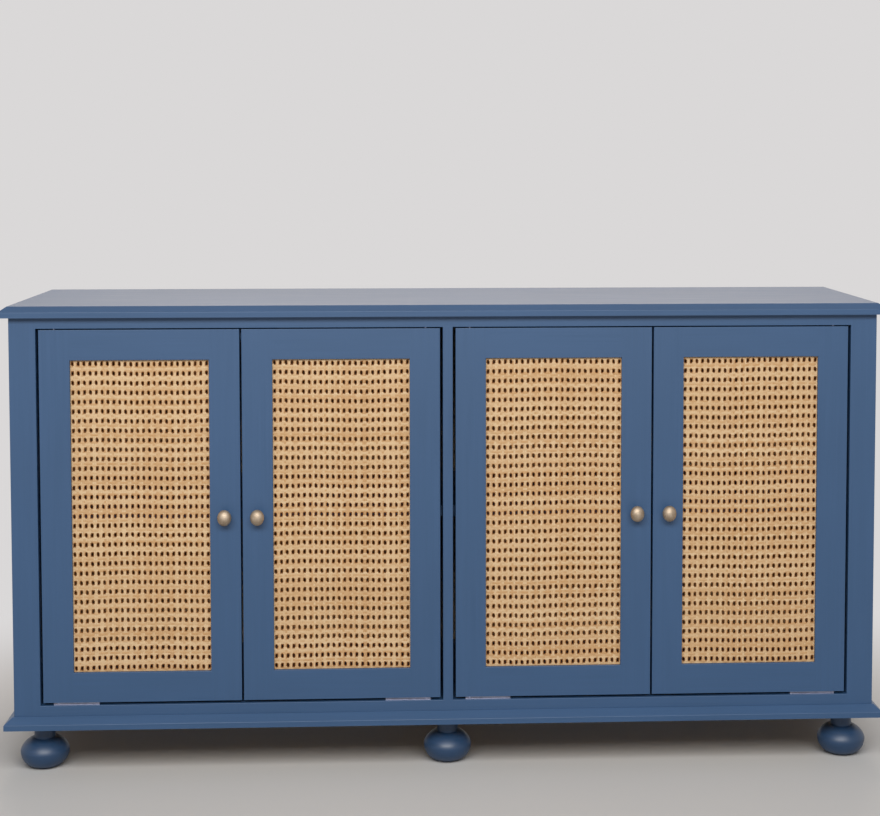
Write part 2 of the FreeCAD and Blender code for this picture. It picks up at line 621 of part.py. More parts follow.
def fixed_leaves():
    """The face frame's hinge leaves, each with its pin, and their screws.

    The lower leaf lies on the bottom rail and has a collar that the door turns on.  The upper one is let in
    flush with the top rail's underside.
    """
    lower_z = BOTTOM_RAIL_TOP
    upper_z = TOP_RAIL_UNDERSIDE
    collar_height = BOTTOM_GAP - LEAF_THICKNESS - COLLAR_CLEARANCE
    collar = Part.makeCylinder(COLLAR_RADIUS, collar_height, pivot(lower_z))
    low_pin = Part.makeCylinder(PIN_RADIUS, PIN_LENGTH, pivot(lower_z))
    high_pin = Part.makeCylinder(PIN_RADIUS, PIN_LENGTH, pivot(upper_z + LEAF_THICKNESS), -AXIS_Z)
    screws = (leaf_screws(lower_z + LEAF_THICKNESS, -AXIS_Z, PLATE_SCREW_LENGTH)
              + leaf_screws(upper_z, AXIS_Z, PLATE_SCREW_LENGTH))
    leaves = [leaf_plate(lower_z).fuse([low_pin, collar]).removeSplitter().cut(screws),
              leaf_plate(upper_z).fuse(high_pin).removeSplitter().cut(screws)]
    return leaves, screws


def door_parts():
    """Every node of one door, by the last part of its name."""
    hinge_stile, lock_stile, rail_bottom, rail_top = door_frame()
    leaves, screws, pockets = moving_leaves()
    waste = pockets + screws
    return {
        "stile_hinge": hinge_stile.cut(waste),
        "stile_lock": lock_stile.cut([knob_screw(), strike_plate()]),
        "rail_bottom": rail_bottom.cut(waste),
        "rail_top": rail_top.cut(waste),
        "cane": group(cane_strands()),
        "beads": group(cane_beads()),
        "knob": knob(),
        "fittings": group(leaves + screws + [knob_screw(), strike_plate()]),
    }


# ---- catches ----

def door_catches():
    """A wooden block behind each pair of meeting stiles, with one magnet for each door."""
    block_x = (MEETING_X - CATCH_LENGTH / 2, MEETING_X + CATCH_LENGTH / 2)
    body = block(block_x, (CATCH_SETBACK, CATCH_SETBACK + CATCH_THICKNESS),
                 (CARCASS_TOP - CATCH_HEIGHT, CARCASS_TOP))
    offset = (MEETING_GAP + DOOR_MEMBER) / 2
    magnets = [Part.makeCylinder(MAGNET_RADIUS, MAGNET_LENGTH, point(MEETING_X + side * offset,
                                                                     CATCH_SETBACK, MAGNET_Z), AXIS_Y)
               for side in (-1, 1)]
    solids = [body.cut(magnets)] + magnets
    return group(solids + [mirrored(solid) for solid in solids])


# ---- the whole cabinet ----

def build():
    """Makes every node and writes it."""
    os.makedirs("parts", exist_ok=True)
    back_screws = back_panel_screws()
    pins = shelf_pins()
    leaves, plate_screws = fixed_leaves()
    hinge_plates = [placed(leaf, *DOORS[number]) for number in DOORS for leaf in leaves]
    frame_screws = [placed(screw, *DOORS[number]) for number in DOORS for screw in plate_screws]

    nodes = {
        "top_board": top_board(),
        "side_panel_left": mirrored(side_panel(back_screws + pins)),
        "side_panel_right": side_panel(back_screws + pins),
        "centre_partition": partition(back_screws + pins),
        "bottom_board": bottom_board(back_screws),
        "back_panel": back_panel(back_screws),
        "shelf_left": mirrored(shelf()),
        "shelf_right": shelf(),
        "shelf_pins": group(pins),
        "base_bearers": base_bearers(),
        "foot_bolts": group(foot_bolts()),
        "hinge_plates": group(hinge_plates),
        "carcass_screws": group(back_screws + frame_screws),
        "door_catches": door_catches(),
    }
    nodes.update(face_frame(hinge_plates + frame_screws))
    moulding_front, moulding_right = base_moulding()
    nodes["base_moulding_front"] = moulding_front
    nodes["base_moulding_right"] = moulding_right
    nodes["base_moulding_left"] = mirrored(moulding_right)
    for name, (x, depth) in foot_centres().items():
        nodes["foot_" + name] = foot(x, depth)
    parts = door_parts()
    for number, (hinge_x, side) in DOORS.items():
        for name, shape in parts.items():
            nodes["door_%d_%s" % (number, name)] = placed(shape, hinge_x, side)
    for node, shape in nodes.items():
        save(node, shape)


build()
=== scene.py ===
"""Record cabinet on bun feet, dressed for viewing.

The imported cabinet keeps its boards, doors and fittings.  The woven cane, the turned feet and the
knobs are made here, where they need finer surfaces than boards do, and every piece gets the finish
of its real material.  A pale floor, soft lights and a camera follow.

Frame: metres, +Z up, +X to the right, the doors face -Y, and the origin lies under the middle of
the cabinet.
"""
import logging
import math
from dataclasses import dataclass, field
from enum import Enum
from typing import Any

import bpy
import numpy as np
from bpy.types import Material, Node, NodeSocket, NodeTree, Object
from mathutils import Euler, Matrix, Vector

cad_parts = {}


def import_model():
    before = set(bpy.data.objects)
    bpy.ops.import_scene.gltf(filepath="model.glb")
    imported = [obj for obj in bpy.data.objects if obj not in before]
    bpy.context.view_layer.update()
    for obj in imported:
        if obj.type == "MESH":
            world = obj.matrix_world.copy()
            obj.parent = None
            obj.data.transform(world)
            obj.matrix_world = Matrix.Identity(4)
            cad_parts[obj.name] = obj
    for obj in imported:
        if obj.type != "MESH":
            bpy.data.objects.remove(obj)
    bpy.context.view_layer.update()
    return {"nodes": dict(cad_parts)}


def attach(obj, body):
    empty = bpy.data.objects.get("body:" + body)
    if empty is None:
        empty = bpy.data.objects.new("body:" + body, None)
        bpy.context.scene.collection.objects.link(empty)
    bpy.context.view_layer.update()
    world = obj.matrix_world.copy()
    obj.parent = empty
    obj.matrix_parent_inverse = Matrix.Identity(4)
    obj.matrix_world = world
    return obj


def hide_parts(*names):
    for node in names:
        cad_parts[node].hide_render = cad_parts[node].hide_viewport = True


Pair = tuple[float, float]
Triple = tuple[float, float, float]

MM = 0.001
FACADE_Y = -187.75 * MM               # front face of doors and face frame
RIGHT, BACK, UP = Vector((1, 0, 0)), Vector((0, 1, 0)), Vector((0, 0, 1))
DOORS = (                             # number, X of the hinge edge, and the side the door is on
    (1, -731.5 * MM, 1), (2, -14.0 * MM, -1), (3, 14.0 * MM, 1), (4, 731.5 * MM, -1))

IOR = 1.5                             # of paint, cane and sealed wood alike
NOISE_LOW, NOISE_HIGH = 0.3, 0.7      # a noise texture's values lie nearly all between these
WAVE_RADIANS = 20                     # a wave texture of scale 1 turns so far in a metre
MIX_SHARE, MIX_A, MIX_B = 0, 6, 7     # inputs of a Mix node of colours, whose names others share
MIX_COLOUR = 2                        # and its output

log = logging.getLogger("record_cabinet")


# ---- small helpers ----

def linear(colour: str) -> tuple[float, float, float, float]:
    """Turns a display colour to linear light, by the sRGB curve.

    Args:
        colour: an sRGB colour as #rrggbb.

    Returns:
        Red, green and blue in linear light, and an alpha of 1.
    """
    channels = [int(colour[start:start + 2], 16) / 255 for start in (1, 3, 5)]
    red, green, blue = [c / 12.92 if c <= 0.04045 else ((c + 0.055) / 1.055) ** 2.4
                        for c in channels]
    return red, green, blue, 1.0


def feed(node: Node, inputs: dict[Any, Any]) -> None:
    """Fills or links a node's inputs.

    Args:
        node: the node that is fed.
        inputs: by socket name or number, a value to set or another node's output to link.
    """
    for socket, value in inputs.items():
        if isinstance(value, NodeSocket):
            node.id_data.links.new(value, node.inputs[socket])
        else:
            node.inputs[socket].default_value = value


def add_node(tree: NodeTree, kind: str, inputs: dict[Any, Any] | None = None,
             **settings: Any) -> Node:
    """Adds a node, gives it its settings, and fills or links its inputs.

    Args:
        tree: the node tree it joins.
        kind: the node's type.
        inputs: what it is fed with, if anything.
        **settings: properties of the node itself.

    Returns:
        The new node.
    """
    node = tree.nodes.new(kind)
    for name, value in settings.items():
        setattr(node, name, value)
    feed(node, inputs or {})
    return node


def new_material(name: str, constants: dict[str, Any]) -> tuple[Material, Node]:
    """Starts a material with one shader joined to its output.

    Args:
        name: the material's name.
        constants: what the shader's sockets hold all over the surface.

    Returns:
        The material and its shader.
    """
    material = bpy.data.materials.new(name)
    material.use_nodes = True
    tree = material.node_tree
    tree.nodes.clear()
    shader = add_node(tree, "ShaderNodeBsdfPrincipled", constants)
    add_node(tree, "ShaderNodeOutputMaterial", {"Surface": shader.outputs["BSDF"]})
    return material, shader


def tube_faces(tubes: int, rings: int, around: int) -> list[list[int]]:
    """Faces of closed tubes whose points are laid out by tube, ring and place round the ring.

    Each four-sided face joins ring i to ring i + 1 and point j to point j + 1, counted round the
    ring.  Each end is one polygon over its ring.  Rings that run counter-clockwise about the tube's
    direction face outwards.

    Args:
        tubes: how many tubes there are.
        rings: rings in each tube.
        around: points in each ring.

    Returns:
        The faces as lists of point numbers.
    """
    index = np.arange(tubes * rings * around).reshape(tubes, rings, around)
    following = np.roll(index, -1, axis=2)
    walls = np.stack([index[:, :-1], following[:, :-1], following[:, 1:], index[:, 1:]], axis=-1)
    ends = np.concatenate([index[:, 0, ::-1], index[:, -1]])
    return walls.reshape(-1, 4).tolist() + ends.tolist()


def new_piece(name: str, points: np.ndarray, faces: list[list[int]],
              sharp_degrees: float) -> Object:
    """Makes a smooth-shaded object.

    Args:
        name: the piece's name.
        points: its points, in an array whose last axis is X, Y and Z.
        faces: its faces as lists of point numbers.
        sharp_degrees: an edge bent by more than this stays sharp.

    Returns:
        The new object, at the origin.
    """
    mesh = bpy.data.meshes.new(name)
    mesh.from_pydata(points.reshape(-1, 3).tolist(), [], faces)
    mesh.shade_smooth()
    mesh.set_sharp_from_angle(angle=math.radians(sharp_degrees))
    piece = bpy.data.objects.new(name, mesh)
    bpy.context.scene.collection.objects.link(piece)
    return piece


def turned(centre: Vector, axis_point: np.ndarray, half_width: np.ndarray, half_height: np.ndarray,
           across: Vector, up: Vector, around: int) -> np.ndarray:
    """Rings of a turned shape: at each place along the axis, an ellipse about it.

    The axis runs along across x up.  A point is centre + axis * place
    + across * half width * cos(angle) + up * half height * sin(angle).

    Args:
        centre: where the axis starts.
        axis_point: places along the axis.
        half_width: half the ellipse's size in the across direction at each place.
        half_height: half its size in the up direction.
        across: unit direction of the width.
        up: unit direction of the height.
        around: points in each ring.

    Returns:
        Points of one tube, by tube, ring, place round the ring and axis.
    """
    angle = np.linspace(0, 2 * np.pi, around, endpoint=False)
    rings = (np.array(centre)
             + axis_point[:, None, None] * np.array(across.cross(up))
             + (half_width[:, None] * np.cos(angle))[..., None] * np.array(across)
             + (half_height[:, None] * np.sin(angle))[..., None] * np.array(up))
    return rings[None]


# ---- finishes ----

def two_tones(tree: NodeTree, pattern: NodeSocket, span: Pair, low: Any, high: Any,
              most: float = 1.0) -> NodeSocket:
    """Colours a surface by a pattern: one tone where it is low and another where it is high.

    Args:
        tree: the material's node tree.
        pattern: the pattern.
        span: where the first tone ends and where the second is full.
        low: the first tone, a linear colour or a node's output.
        high: the second.
        most: the largest share of the second tone.

    Returns:
        The colour.
    """
    share = add_node(tree, "ShaderNodeMapRange", {
        "Value": pattern, "From Min": span[0], "From Max": span[1], "To Max": most})
    colour = add_node(tree, "ShaderNodeMix", {
        MIX_SHARE: share.outputs[0], MIX_A: low, MIX_B: high}, data_type="RGBA")
    return colour.outputs[MIX_COLOUR]


def marked(tree: NodeTree, marks: NodeSocket, roughness: Pair, bump: Pair) -> dict[str, NodeSocket]:
    """Lets a noise of marks vary a surface's roughness and raise it.

    Args:
        tree: the material's node tree.
        marks: the noise.
        roughness: the least and the most.
        bump: strength and height of the marks.

    Returns:
        What the shader's roughness and normal are fed with.
    """
    gloss = add_node(tree, "ShaderNodeMapRange", {
        "Value": marks, "From Min": NOISE_LOW, "From Max": NOISE_HIGH,
        "To Min": roughness[0], "To Max": roughness[1]})
    ridges = add_node(tree, "ShaderNodeBump", {
        "Strength": bump[0], "Distance": bump[1], "Height": marks})
    return {"Roughness": gloss.outputs[0], "Normal": ridges.outputs[0]}


class Grain(Enum):
    """The axis that a board's grain and the strokes on it run along."""
    X = 0
    Y = 1
    Z = 2

    def stretch(self, length: float, width: float) -> Triple:
        """Scales of a pattern whose marks are so long along the grain and so wide across it."""
        scales = [1 / width] * 3
        scales[self.value] = 1 / length
        return scales[0], scales[1], scales[2]


@dataclass(frozen=True)
class SatinEnamel:
    """Blue satin enamel on primed boards.

    Brushed in two coats: an even, slightly greyed blue with a soft clear sheen, faint drag lines
    along each board and a fine stipple that keeps reflections from looking like glass.
    """
    grain: Grain
    deep: str = "#29486b"
    light: str = "#2c4c71"
    tone: Pair = (0.7, 1.3)           # drag and cloud added, at deep and at light
    roughness: Pair = (0.42, 0.52)
    coat: float = 0.12
    coat_roughness: float = 0.4
    drag_length: float = 180 * MM
    drag_width: float = 2.4 * MM      # real bristle lines are 0.4 mm, too fine to show
    drag_bump: Pair = (0.05, 0.05 * MM)           # strength and height, as all bumps
    stipple: float = 1.8 * MM         # real stipple is about 1 mm
    stipple_bump: Pair = (0.08, 0.03 * MM)
    cloud: float = 240 * MM

    def material(self) -> Material:
        """Builds the material, named for its grain."""
        material, shader = new_material("satin_enamel_" + self.grain.name.lower(), {
            "IOR": IOR, "Coat Weight": self.coat, "Coat Roughness": self.coat_roughness,
            "Coat IOR": IOR})
        tree = material.node_tree
        place = add_node(tree, "ShaderNodeTexCoord").outputs["Object"]
        strokes = add_node(tree, "ShaderNodeMapping", {
            "Vector": place, "Scale": self.grain.stretch(self.drag_length, self.drag_width)})
        drag = add_node(tree, "ShaderNodeTexNoise", {
            "Vector": strokes.outputs[0], "Scale": 1.0, "Detail": 2.0})
        cloud = add_node(tree, "ShaderNodeTexNoise", {
            "Vector": place, "Scale": 1 / self.cloud, "Detail": 1.0})
        stipple = add_node(tree, "ShaderNodeTexNoise", {
            "Vector": place, "Scale": 1 / self.stipple, "Detail": 0.0})
        tone = add_node(tree, "ShaderNodeMath", {
            0: drag.outputs[0], 1: cloud.outputs[0]}, operation="ADD")
        colour = two_tones(tree, tone.outputs[0], self.tone, linear(self.deep), linear(self.light))
        brushed = marked(tree, drag.outputs[0], self.roughness, self.drag_bump)
        skin = add_node(tree, "ShaderNodeBump", {
            "Strength": self.stipple_bump[0], "Distance": self.stipple_bump[1],
            "Height": stipple.outputs[0], "Normal": brushed["Normal"]})
        feed(shader, {"Base Color": colour, "Roughness": brushed["Roughness"],
                      "Normal": skin.outputs[0], "Coat Normal": skin.outputs[0]})
        return material


@dataclass(frozen=True)
class TurnedEnamel:
    """The same blue in gloss on turned wood.

    Brushed while the work turned: a wetter surface than the boards, with rings of faint tool and
    brush marks.
    """
    deep: str = "#193553"
    light: str = "#1c395a"
    roughness: Pair = (0.44, 0.52)
    coat: float = 0.2
    coat_roughness: float = 0.36
    ring_width: float = 2.6 * MM      # real tool marks are about 1 mm apart
    ring_length: float = 70 * MM
    ring_bump: Pair = (0.12, 0.06 * MM)

    def material(self) -> Material:
        """Builds the material."""
        material, shader = new_material("gloss_enamel_turned", {
            "IOR": IOR, "Coat Weight": self.coat, "Coat Roughness": self.coat_roughness,
            "Coat IOR": IOR})
        tree = material.node_tree
        place = add_node(tree, "ShaderNodeTexCoord").outputs["Object"]
        rings = add_node(tree, "ShaderNodeMapping", {
            "Vector": place,
            "Scale": (1 / self.ring_length, 1 / self.ring_length, 1 / self.ring_width)})
        marks = add_node(tree, "ShaderNodeTexNoise", {
            "Vector": rings.outputs[0], "Scale": 1.0, "Detail": 2.0})
        colour = two_tones(tree, marks.outputs[0], (NOISE_LOW, NOISE_HIGH), linear(self.deep),
                           linear(self.light))
        feed(shader, {"Base Color": colour, **marked(
            tree, marks.outputs[0], self.roughness, self.ring_bump)})
        return material


@dataclass(frozen=True)
class SplitCane:
    """Natural split cane: the outer skin of rattan in flat strands.

    Straw to honey in colour, each strand a little different, with long fibres, dull brown round the
    holes (partly the split edges' own colour, partly painted shade of the holes) and a soft waxy
    sheen.  The pattern follows each strand by its own UV map, in metres along and 0 to 1 across.
    """
    pale: str = "#cdb38f"
    honey: str = "#b18759"
    # brown of the split edges, together with painted shade of the holes
    edge: str = "#6b3c06"
    tone: Pair = (0.55, 1.45)         # fibre and own tone added, at honey and at pale
    rim: float = 0.4                  # edge mark at which the brown of split edge and painted shade is full, 0 at the crown, 1 at the edge
    fibre_length: float = 22 * MM
    fibres_across: float = 5.0        # real fibres are about 0.2 mm wide, drawn four times as wide
    fibre_bump: Pair = (0.35, 0.08 * MM)
    roughness: Pair = (0.4, 0.6)
    specular: float = 0.25            # half that of varnish, because wax is duller
    sheen: float = 0.08

    def material(self) -> Material:
        """Builds the material; it reads the UV map, the tone and the edge mark for brown and
        painted shade.
        """
        material, shader = new_material("split_cane", {
            "IOR": IOR, "Specular IOR Level": self.specular, "Sheen Weight": self.sheen})
        tree = material.node_tree
        strand = add_node(tree, "ShaderNodeUVMap", uv_map="strand").outputs[0]
        own_tone = add_node(tree, "ShaderNodeAttribute", attribute_name="tone").outputs["Fac"]
        drawn = add_node(tree, "ShaderNodeMapping", {
            "Vector": strand, "Scale": (1 / self.fibre_length, self.fibres_across, 1.0)})
        fibre = add_node(tree, "ShaderNodeTexNoise", {
            "Vector": drawn.outputs[0], "W": own_tone, "Scale": 1.0, "Detail": 3.0},
            noise_dimensions="4D")
        mixed = add_node(tree, "ShaderNodeMath", {0: fibre.outputs[0], 1: own_tone},
                         operation="ADD")
        body = two_tones(tree, mixed.outputs[0], self.tone, linear(self.honey), linear(self.pale))
        # dark brown beside the holes: the split edges' own colour and painted shade of the holes
        edge_shade_mark = add_node(tree, "ShaderNodeAttribute", attribute_name="edge").outputs["Fac"]
        colour = two_tones(tree, edge_shade_mark, (0.0, self.rim), body, linear(self.edge))
        feed(shader, {"Base Color": colour, **marked(
            tree, fibre.outputs[0], self.roughness, self.fibre_bump)})
        return material


@dataclass(frozen=True)
class WoodBoard:
    """Bare wood with long grain, and the layers of plywood on its cut edges.

    Planed and thinly sealed: soft growth bands, fine dark pores along the grain and almost no
    gloss.
    """
    name: str
    grain: Grain
    face_axis: Grain
    pale: str = "#d9c09a"
    dark: str = "#c9ab80"
    pore: str = "#a07f55"
    roughness: float = 0.58
    band_width: float = 14 * MM
    band_stretch: float = 20          # a growth band's length, in widths
    band: Pair = (0.35, 0.65)         # growth noise, at dark and at pale
    pore_width: float = 1.2 * MM      # real pores are 0.1 mm
    pore_length: float = 30 * MM
    open_pore: Pair = (0.58, 0.72)    # pore noise, at a pore's rim and its middle
    pore_share: float = 0.5           # of the pore's colour in its middle
    pore_bump: Pair = (0.2, 0.06 * MM)
    layered: bool = True
    layer: float = 2.8 * MM           # two plies, one dark and one pale
    ply: Pair = (0.4, 0.6)            # wave, at a pale ply's end and a dark one's start
    ply_share: float = 0.6            # of the pore's colour in a dark ply
    cut_cosine: float = 0.5           # a surface 60 degrees off the face is a cut edge

    def material(self) -> Material:
        """Builds the material; the layers show where the surface looks away from the face axis."""
        material, shader = new_material(self.name, {"IOR": IOR, "Roughness": self.roughness})
        tree = material.node_tree
        place = add_node(tree, "ShaderNodeTexCoord").outputs["Object"]
        bands = add_node(tree, "ShaderNodeMapping", {
            "Vector": place,
            "Scale": self.grain.stretch(self.band_stretch * self.band_width, self.band_width)})
        growth = add_node(tree, "ShaderNodeTexNoise", {
            "Vector": bands.outputs[0], "Scale": 1.0, "Detail": 3.0, "Distortion": 0.6})
        body = two_tones(tree, growth.outputs[0], self.band, linear(self.dark), linear(self.pale))
        lines = add_node(tree, "ShaderNodeMapping", {
            "Vector": place, "Scale": self.grain.stretch(self.pore_length, self.pore_width)})
        pores = add_node(tree, "ShaderNodeTexNoise", {
            "Vector": lines.outputs[0], "Scale": 1.0, "Detail": 1.0})
        colour = two_tones(tree, pores.outputs[0], self.open_pore, body, linear(self.pore),
                           self.pore_share)
        if self.layered:
            normal = add_node(tree, "ShaderNodeNewGeometry").outputs["Normal"]
            facing = add_node(tree, "ShaderNodeSeparateXYZ", {0: normal})
            flat = add_node(tree, "ShaderNodeMath", {0: facing.outputs[self.face_axis.value]},
                            operation="ABSOLUTE")
            cut = add_node(tree, "ShaderNodeMath", {0: flat.outputs[0], 1: self.cut_cosine},
                           operation="LESS_THAN")
            plies = add_node(tree, "ShaderNodeTexWave", {
                "Vector": place, "Scale": 2 * math.pi / (WAVE_RADIANS * self.layer)},
                bands_direction=self.face_axis.name)
            dark_ply = add_node(tree, "ShaderNodeMapRange", {
                "Value": plies.outputs["Fac"], "From Min": self.ply[0], "From Max": self.ply[1],
                "To Max": self.ply_share})
            shown = add_node(tree, "ShaderNodeMath", {0: cut.outputs[0], 1: dark_ply.outputs[0]},
                             operation="MULTIPLY")
            colour = two_tones(tree, shown.outputs[0], (0.0, 1.0), colour, linear(self.pore))
        ridges = add_node(tree, "ShaderNodeBump", {
            "Strength": self.pore_bump[0], "Distance": self.pore_bump[1],
            "Height": pores.outputs[0]})
        feed(shader, {"Base Color": colour, "Normal": ridges.outputs[0]})
        return material


@dataclass(frozen=True)
class Metal:
    """Worked metal: even colour, brushed or tumbled to satin, with a little tarnish in patches."""
    name: str
    bright: str
    tarnish: str
    roughness: Pair
    mark_length: float = 6 * MM
    mark_width: float = 0.8 * MM
    mark_bump: Pair = (0.1, 0.02 * MM)
    patch: float = 9 * MM
    tarnished: Pair = (0.4, 0.75)     # patch noise, at a patch's rim and its middle
    tarnish_share: float = 0.8        # of the tarnish's colour in a patch's middle

    def material(self) -> Material:
        """Builds the material, brushed along X."""
        material, shader = new_material(self.name, {"Metallic": 1.0})
        tree = material.node_tree
        place = add_node(tree, "ShaderNodeTexCoord").outputs["Object"]
        strokes = add_node(tree, "ShaderNodeMapping", {
            "Vector": place, "Scale": Grain.X.stretch(self.mark_length, self.mark_width)})
        marks = add_node(tree, "ShaderNodeTexNoise", {
            "Vector": strokes.outputs[0], "Scale": 1.0, "Detail": 2.0})
        patches = add_node(tree, "ShaderNodeTexNoise", {
            "Vector": place, "Scale": 1 / self.patch, "Detail": 3.0})
        colour = two_tones(tree, patches.outputs[0], self.tarnished, linear(self.bright),
                           linear(self.tarnish), self.tarnish_share)
        feed(shader, {"Base Color": colour, **marked(
            tree, marks.outputs[0], self.roughness, self.mark_bump)})
        return material


@dataclass
class Finishes:
    """Every finish of the cabinet, each built once; the boards' enamel goes by its grain."""
    of: dict[Grain | str, Material] = field(default_factory=dict)

    def build(self) -> None:
        """Builds all the materials."""
        self.of = {grain: SatinEnamel(grain).material() for grain in Grain}
        self.of |= {
            "turned": TurnedEnamel().material(),
            "cane": SplitCane().material(),
            "ply_back": WoodBoard("birch_plywood_back", Grain.X, Grain.Y).material(),
            "pine": WoodBoard("planed_pine", Grain.X, Grain.Z, pale="#dfc08a", dark="#c69a5c",
                              pore="#ab7c42", band_width=9 * MM, layered=False).material(),
            "brass": Metal("antique_brass", "#b0a18f", "#8f7c67", (0.53, 0.67)).material(),
            "nickel": Metal("nickel_plated_steel", "#b2b5cc", "#9094ab", (0.33, 0.47)).material(),
            "zinc": Metal("zinc_plated_steel", "#b9bcc0", "#8d9194", (0.35, 0.49),
                          patch=3 * MM).material(),
        }


def dress(node: Object, material: Material) -> None:
    """Gives every material slot of an object one material.

    Args:
        node: the object.
        material: its finish.
    """
    if not node.material_slots:
        node.data.materials.append(material)
    for slot in node.material_slots:
        slot.material = material


# ---- sub-assemblies ----

@dataclass
class BunFoot:
    """A turned foot: a flattened ball under a straight neck."""
    name: str
    x: float
    y: float
    height: float = 85 * MM
    radius: float = 43.9 * MM
    widest: float = 28.8 * MM         # height of the ball's widest ring
    ball_top: float = 53 * MM
    base_radius: float = 18.5 * MM
    neck_radius: float = 19 * MM
    fullness: float = 1.65            # exponent of the upper half's curve, 2 would be an ellipse
    around: int = 96
    curve_points: int = 20            # in each half of the ball's profile
    sharp_degrees: float = 35

    def build(self) -> Object:
        """Turns the foot's profile about its axis.

        Below the widest ring the profile is a quarter ellipse from the base, above it a quarter of
        a superellipse that runs into the neck.

        Returns:
            The foot.
        """
        angle = np.linspace(0, np.pi / 2, self.curve_points)
        bulge = self.radius - self.base_radius
        low_r = self.base_radius + bulge * np.sin(angle)
        low_z = self.widest * (1 - np.cos(angle))
        power = 2 / self.fullness
        shoulder = self.radius - self.neck_radius
        high_r = self.neck_radius + shoulder * np.cos(angle[1:]).clip(0) ** power
        high_z = self.widest + (self.ball_top - self.widest) * np.sin(angle[1:]) ** power
        radius = np.concatenate([low_r, high_r, [self.neck_radius]])
        z = np.concatenate([low_z, high_z, [self.height]])
        points = turned(Vector((self.x, self.y, 0)), z, radius, radius, RIGHT, BACK, self.around)
        return new_piece(self.name + "_turned", points, tube_faces(*points.shape[:3]),
                         self.sharp_degrees)

    def dress(self, piece: Object, finishes: Finishes) -> None:
        """Paints the foot and sets it in place of the plain one.

        Args:
            piece: the foot.
            finishes: the cabinet's finishes.
        """
        dress(piece, finishes.of["turned"])
        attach(piece, "carcass")
        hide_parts(self.name)


@dataclass
class Knob:
    """An egg-shaped knob, taller than wide, on a short neck with a small rose."""
    door: int
    x: float
    z: float = 469.0 * MM
    reach: float = 28.5 * MM
    half_width: float = 12.5 * MM
    half_height: float = 14.5 * MM
    half_length: float = 10 * MM
    neck_radius: float = 5 * MM
    rose_radius: float = 7.5 * MM
    rose_thickness: float = 2.5 * MM
    rose_step: float = 0.5 * MM       # length over which the rose's face drops to the neck
    # share of the rose's thickness, and how far its rim stands out there, as a share of the whole
    rose_rim: tuple[Pair, ...] = ((0.0, 1.0), (0.75, 1.0), (0.95, 0.96), (1.0, 0.9))
    tip_degrees: float = 89           # the last ring is this far round, just short of a point
    around: int = 64
    curve_points: int = 36
    sharp_degrees: float = 50

    def build(self) -> Object:
        """Carries the knob's profile along its axis, from the rose to the tip.

        The egg's ellipse at a turn t along it is half width x cos t wide and half height x cos t
        high.  It starts where that width meets the neck.

        Returns:
            The knob.
        """
        start = -math.acos(self.neck_radius / self.half_width)
        turn = np.linspace(start, math.radians(self.tip_degrees), self.curve_points)
        share, size = np.array(self.rose_rim).T
        rose = self.rose_thickness
        stem_at = np.append(share * rose, rose + self.rose_step)
        stem = self.neck_radius + (self.rose_radius - self.neck_radius) * np.append(size, 0.0)
        middle = self.reach - self.half_length
        place = np.concatenate([stem_at, middle + self.half_length * np.sin(turn)])
        width = np.concatenate([stem, self.half_width * np.cos(turn)])
        height = np.concatenate([stem, self.half_height * np.cos(turn)])
        points = turned(Vector((self.x, FACADE_Y, self.z)), place, width, height, RIGHT, UP,
                        self.around)
        return new_piece("door_%d_knob_turned" % self.door, points, tube_faces(*points.shape[:3]),
                         self.sharp_degrees)

    def dress(self, piece: Object, finishes: Finishes) -> None:
        """Gives the knob its metal and sets it in place of the plain one.

        Args:
            piece: the knob.
            finishes: the cabinet's finishes.
        """
        dress(piece, finishes.of["brass"])
        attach(piece, "door_%d" % self.door)
        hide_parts("door_%d_knob" % self.door)


@dataclass(frozen=True)
class Spread:
    """Evenly spread places and their pitch."""
    at: np.ndarray
    pitch: float


